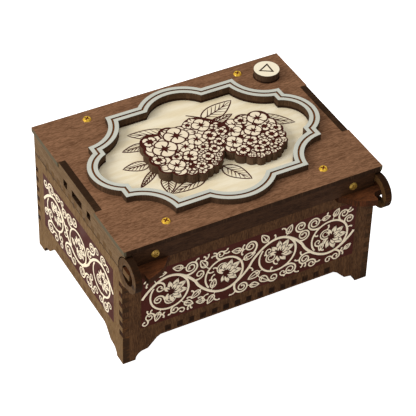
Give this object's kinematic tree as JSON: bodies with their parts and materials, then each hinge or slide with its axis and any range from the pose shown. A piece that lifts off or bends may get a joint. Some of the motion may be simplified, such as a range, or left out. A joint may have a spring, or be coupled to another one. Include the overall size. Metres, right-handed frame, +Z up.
{
  "type": "cylinder music box",
  "caption": "Plywood box with a hinged lid, framed flower relief, play button, painted scroll panels and a wind-up comb movement inside.",
  "frame": {"origin": "on the ground under the middle of the whole object's box", "axes": "+X along the hinge to the button end, +Y from the hinge side to the opening side, +Z up"},
  "size_m": [0.16, 0.1314, 0.092],
  "materials": {
    "chest_wood": "light brown plywood, waxed, edges burnt dark",
    "lid_wood": "mid brown plywood, waxed, edges burnt dark",
    "dark_wood": "dark stained and burnt plywood",
    "maroon_ground": "matt maroon paint with cream scrolls",
    "cream_wood": "cream lacquered wood",
    "grey_frame": "silver grey lacquer",
    "button_cream": "cream lacquer",
    "gold_screw": "polished",
    "brass": "satin",
    "steel": "satin"
  },
  "bodies": {
    "chest": {"left_side": "chest_wood", "right_side": "chest_wood", "rear_panel": "chest_wood", "front_panel": "chest_wood", "floor_plate": "chest_wood", "rear_inlay": "maroon_ground", "front_inlay": "maroon_ground", "left_inlay": "maroon_ground", "right_inlay": "maroon_ground", "long_divider": "chest_wood", "cross_divider": "chest_wood", "bedplate": "brass", "bedplate_screws": "steel", "comb": "steel", "comb_screws": "gold_screw", "left_bearing": "brass", "right_bearing": "brass", "barrel_bridge": "brass", "governor_frame": "brass", "lever_post": "brass", "lever_pin": "steel"},
    "lid": {"lid_plate": "lid_wood", "lid_inner_plate": "dark_wood", "lid_left_rail": "lid_wood", "lid_right_rail": "lid_wood", "lid_hinge_rail": "dark_wood", "lid_front_rail": "lid_wood", "lid_spacers": "lid_wood", "lid_screws": "gold_screw", "rail_screws": "gold_screw", "ornament_panel": "cream_wood", "ornament_frame": "grey_frame", "flower_left": "cream_wood", "flower_right": "cream_wood", "button_spring": "steel"},
    "button": {"button_cap": "button_cream", "button_disc": "dark_wood", "button_collar": "lid_wood", "button_stem": "lid_wood"},
    "stop_lever": {"stop_lever": "steel"},
    "cylinder": {"cylinder_drum": "brass", "cylinder_caps": "brass", "cylinder_pins": "steel", "cylinder_arbor": "steel", "cylinder_pinion": "brass", "cylinder_wheel": "brass"},
    "barrel": {"barrel_drum": "brass", "barrel_cap": "brass", "mainspring": "steel"},
    "winder": {"winding_arbor": "steel", "ratchet_wheel": "steel", "winding_key": "brass"},
    "click": {"click": "steel"},
    "idler": {"idler_arbor": "steel", "idler_pinion": "steel", "worm_wheel": "brass"},
    "governor": {"governor_arbor": "steel", "worm": "brass", "fan": "steel", "brake_disc": "brass"}
  },
  "joints": [
    {"name": "lid_hinge", "type": "hinge", "parent": "chest", "child": "lid", "pos_m": [0, -0.0555, 0.0723], "axis": [1, 0, 0], "range_deg": [0, 110]},
    {"name": "button_press", "type": "slide", "parent": "lid", "child": "button", "axis": [0, 0, -1], "range_m": [0, 0.0025], "stiffness_N_per_m": 150, "springref_m": -0.004, "deforming": ["button_spring"]},
    {"name": "lever_tilt", "type": "hinge", "parent": "chest", "child": "stop_lever", "pos_m": [0.0639, 0.034, 0.052], "axis": [-1, 0, 0], "range_deg": [0, 10.5]},
    {"name": "cylinder_spin", "type": "hinge", "parent": "chest", "child": "cylinder", "pos_m": [0.046, 0.034, 0.036], "axis": [1, 0, 0], "continuous": true},
    {"name": "barrel_spin", "type": "hinge", "parent": "chest", "child": "barrel", "pos_m": [0.0226, 0.034, 0.028], "axis": [0, 0, 1], "continuous": true},
    {"name": "idler_spin", "type": "hinge", "parent": "chest", "child": "idler", "pos_m": [0.0626, 0.0244, 0.036], "axis": [1, 0, 0], "continuous": true},
    {"name": "governor_spin", "type": "hinge", "parent": "chest", "child": "governor", "pos_m": [0.0636, 0.0179, 0.036], "axis": [0, 0, 1], "continuous": true},
    {"name": "winding_turn", "type": "hinge", "parent": "chest", "child": "winder", "pos_m": [0.0226, 0.034, 0.008], "axis": [0, 0, 1], "continuous": true},
    {"name": "click_lift", "type": "hinge", "parent": "chest", "child": "click", "pos_m": [0.0312, 0.026, 0.022], "axis": [0, 0, 1], "range_deg": [0, 10]}
  ],
  "couplings": [
    {"joint": "lever_tilt", "follows": "button_press", "rad_per_m": 71.2},
    {"joint": "barrel_spin", "follows": "cylinder_spin", "ratio": 0.5},
    {"joint": "idler_spin", "follows": "cylinder_spin", "ratio": -4},
    {"joint": "governor_spin", "follows": "cylinder_spin", "ratio": -80}
  ]
}
